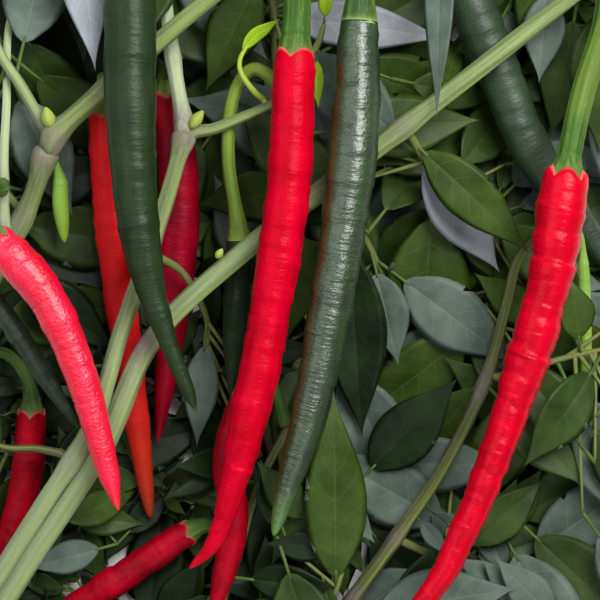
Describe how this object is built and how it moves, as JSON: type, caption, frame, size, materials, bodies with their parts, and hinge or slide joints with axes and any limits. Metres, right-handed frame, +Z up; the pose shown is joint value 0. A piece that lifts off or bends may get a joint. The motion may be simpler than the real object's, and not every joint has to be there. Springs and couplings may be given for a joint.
{
  "type": "cut branch of a chilli pepper plant",
  "caption": "Cut branch of a chilli pepper plant with long ripe and green pods, forked stems and leaves, lying flat.",
  "frame": {"origin": "middle of the underside of the branch's box, on the surface that it lies on", "axes": "+Z up from the surface to the side with the pods; +Y towards the top of the picture, where the pods' stalks are; +X to its right"},
  "size_m": [0.2468, 0.2824, 0.0656],
  "materials": {
    "stem": "ridged green stem with paler streaks",
    "calyx": "ribbed green stalk that widens into a calyx",
    "ripe_pod": "glossy, finely wrinkled ripe red skin",
    "green_pod": "glossy, finely wrinkled dark green skin",
    "turning_pod": "glossy red skin that pales to orange at the tip",
    "young_pod": "smooth light green skin",
    "leaf": "veined leaf, dark green above and grey green beneath"
  },
  "bodies": {
    "root": {"main_stem": "stem", "left_stem": "stem", "left_stem_top": "stem", "side_twig": "stem", "left_bough": "stem", "left_bough_top": "stem", "outer_twig": "stem", "corner_twig": "stem", "lower_bough": "stem", "right_bough": "stem", "inner_twig": "stem", "inner_bough": "stem", "low_twig": "stem", "calyx_centre_red": "calyx", "pod_centre_red": "ripe_pod", "calyx_centre_green": "calyx", "pod_centre_green": "green_pod", "calyx_left_green": "calyx", "pod_left_green": "green_pod", "calyx_right_red": "calyx", "pod_right_red": "ripe_pod", "calyx_left_red": "calyx", "pod_left_red": "ripe_pod", "calyx_upper_green": "calyx", "pod_upper_green": "green_pod", "calyx_orange_red": "calyx", "pod_orange_red": "turning_pod", "calyx_shaded_red": "calyx", "pod_shaded_red": "ripe_pod", "calyx_lower_red": "calyx", "pod_lower_red": "ripe_pod", "calyx_bottom_red": "calyx", "pod_bottom_red": "ripe_pod", "calyx_behind_green": "calyx", "pod_behind_green": "green_pod", "calyx_far_left_green": "calyx", "pod_far_left_green": "green_pod", "calyx_behind_red": "calyx", "pod_behind_red": "ripe_pod", "young_pod_right": "young_pod", "young_pod_left": "young_pod", "leaves_top_left": "leaf", "leaves_top_centre": "leaf", "leaves_top_right": "leaf", "leaves_upper_right": "leaf", "leaves_right": "leaf", "leaves_centre": "leaf", "leaves_lower_centre": "leaf", "leaves_inner": "leaf", "leaves_lower_right": "leaf", "leaves_lower_left": "leaf", "leaves_left": "leaf", "leaves_middle_left": "leaf", "leaves_upper_left": "leaf", "leaves_far_corner": "leaf", "leaves_outer": "leaf", "leaves_stem_tip": "leaf", "leaves_side": "leaf", "young_leaf": "leaf"}
  },
  "joints": []
}
